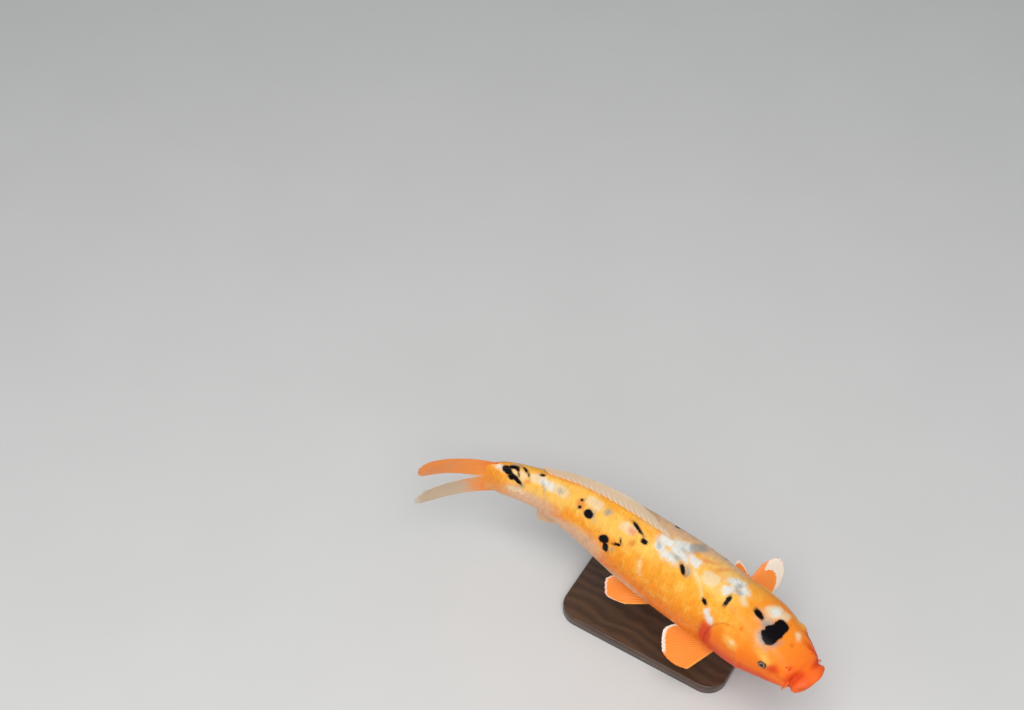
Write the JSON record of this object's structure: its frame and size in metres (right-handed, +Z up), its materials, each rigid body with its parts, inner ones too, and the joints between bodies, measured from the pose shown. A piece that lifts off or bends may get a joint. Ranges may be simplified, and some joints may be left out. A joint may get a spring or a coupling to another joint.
{
  "type": "koi carp model",
  "caption": "Still life-size model of a patterned orange koi carp, bent as it swims, on a flat base with short rods.",
  "frame": {"origin": "middle of the underside of the stand's base, on the floor", "axes": "+X the way the fish heads, +Y the fish's left, +Z up"},
  "size_m": [0.4577, 0.1413, 0.166],
  "materials": {
    "skin": "wet scaled fish skin, yellow-orange back with white patches and black marks",
    "lips": "wet smooth skin, orange-red",
    "fins": "thin rayed skin, orange with pale margins",
    "eyes": "clear over a dark pupil and gold ring",
    "stand_wood": "dark stained, satin",
    "stand_steel": "satin"
  },
  "bodies": {
    "root": {"head": "skin", "trunk_front": "skin", "trunk_rear": "skin", "tail_stem": "skin", "gill_cover_left": "skin", "gill_cover_right": "skin", "lip_upper": "lips", "lip_lower": "lips", "barbel_long_left": "lips", "barbel_long_right": "lips", "barbel_short_left": "lips", "barbel_short_right": "lips", "eye_left": "eyes", "eye_right": "eyes", "dorsal_fin": "fins", "anal_fin": "fins", "tail_fin_upper": "fins", "tail_fin_lower": "fins", "pectoral_fin_left": "fins", "pectoral_fin_right": "fins", "pelvic_fin_left": "fins", "pelvic_fin_right": "fins", "stand_base": "stand_wood", "stand_rod_front": "stand_steel", "stand_rod_rear": "stand_steel"}
  },
  "joints": []
}
